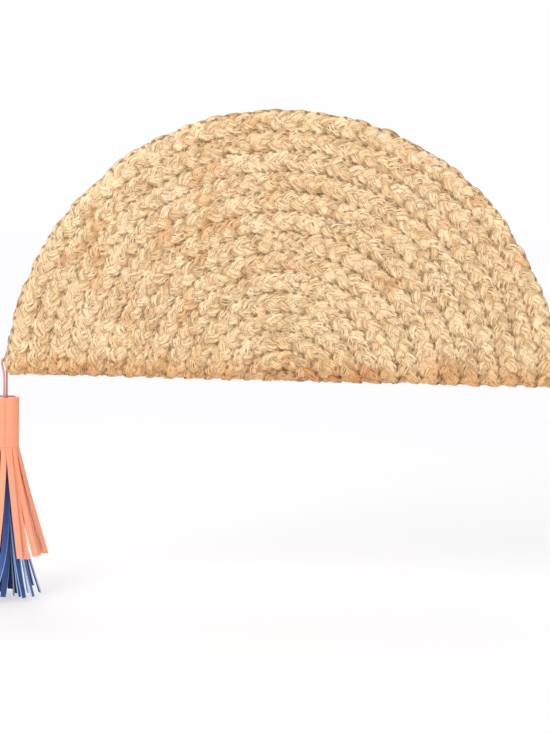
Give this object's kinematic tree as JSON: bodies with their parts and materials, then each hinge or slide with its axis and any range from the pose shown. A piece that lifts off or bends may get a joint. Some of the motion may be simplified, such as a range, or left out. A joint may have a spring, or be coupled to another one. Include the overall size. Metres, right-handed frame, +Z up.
{
  "type": "half-moon clutch bag",
  "caption": "Half-moon clutch of braided jute with a zip along its curved edge and a two-colour leather tassel on the zip pull.",
  "frame": {"origin": "middle of the flat that the bag's weight presses under its fold", "axes": "+X along the fold towards the open end of the zip, -Y out of the front panel, +Z up from the fold to the top of the arc"},
  "size_m": [0.4123, 0.0544, 0.3447],
  "materials": {
    "jute_braid": "matte",
    "lining_cloth": "matte",
    "zip_tape": "matte",
    "zip_teeth": "satin",
    "zip_metal": "satin",
    "pink_lace": "satin",
    "coral_leather": "satin",
    "blue_leather": "satin"
  },
  "bodies": {
    "fold": {"bottom_fold": "jute_braid", "lining_fold": "lining_cloth", "zip_tape_left_end": "zip_tape", "zip_tape_right_end": "zip_tape", "zip_teeth_front_left_end": "zip_teeth", "zip_teeth_back_left_end": "zip_teeth", "zip_teeth_front_right_end": "zip_teeth", "zip_teeth_back_right_end": "zip_teeth", "zip_bottom_stop": "zip_metal"},
    "front": {"front_panel": "jute_braid", "lining_front": "lining_cloth", "zip_tape_front": "zip_tape", "zip_teeth_front": "zip_teeth"},
    "back": {"back_panel": "jute_braid", "lining_back": "lining_cloth", "zip_tape_back": "zip_tape", "zip_teeth_back": "zip_teeth"},
    "slider": {"zip_slider": "zip_metal"},
    "pull": {"zip_pull": "zip_metal"},
    "lace": {"tassel_lace": "pink_lace"},
    "tassel": {"tassel_coral_fringe": "coral_leather", "tassel_blue_fringe": "blue_leather"}
  },
  "joints": [
    {"name": "front_open", "type": "hinge", "parent": "fold", "child": "front", "pos_m": [0, -0.0198, 0.01875], "axis": [1, 0, 0], "range_deg": [0, 16]},
    {"name": "back_open", "type": "hinge", "parent": "fold", "child": "back", "pos_m": [0, 0.0198, 0.01875], "axis": [-1, 0, 0], "range_deg": [0, 16]},
    {"name": "slider_travel", "type": "hinge", "parent": "fold", "child": "slider", "pos_m": [0, 0, -0.00367], "axis": [0, 1, 0], "range_deg": [0, 163], "deforming": ["zip_teeth_front", "zip_teeth_back", "zip_teeth_front_left_end", "zip_teeth_back_left_end", "zip_teeth_front_right_end", "zip_teeth_back_right_end"]},
    {"name": "pull_flip", "type": "hinge", "parent": "slider", "child": "pull", "pos_m": [-0.19019, 0, 0.02475], "axis": [0, 1, 0], "range_deg": [0, 164.2]},
    {"name": "lace_swing", "type": "hinge", "parent": "pull", "child": "lace", "pos_m": [-0.194, 0, 0.0118], "axis": [1, 0, 0], "range_deg": [-50, 50]},
    {"name": "tassel_sway", "type": "hinge", "parent": "lace", "child": "tassel", "pos_m": [-0.194, 0, -0.0166], "axis": [0, 1, 0], "range_deg": [-45, 45]}
  ],
  "couplings": [
    {"joint": "pull_flip", "follows": "slider_travel", "ratio": 1.0074}
  ]
}
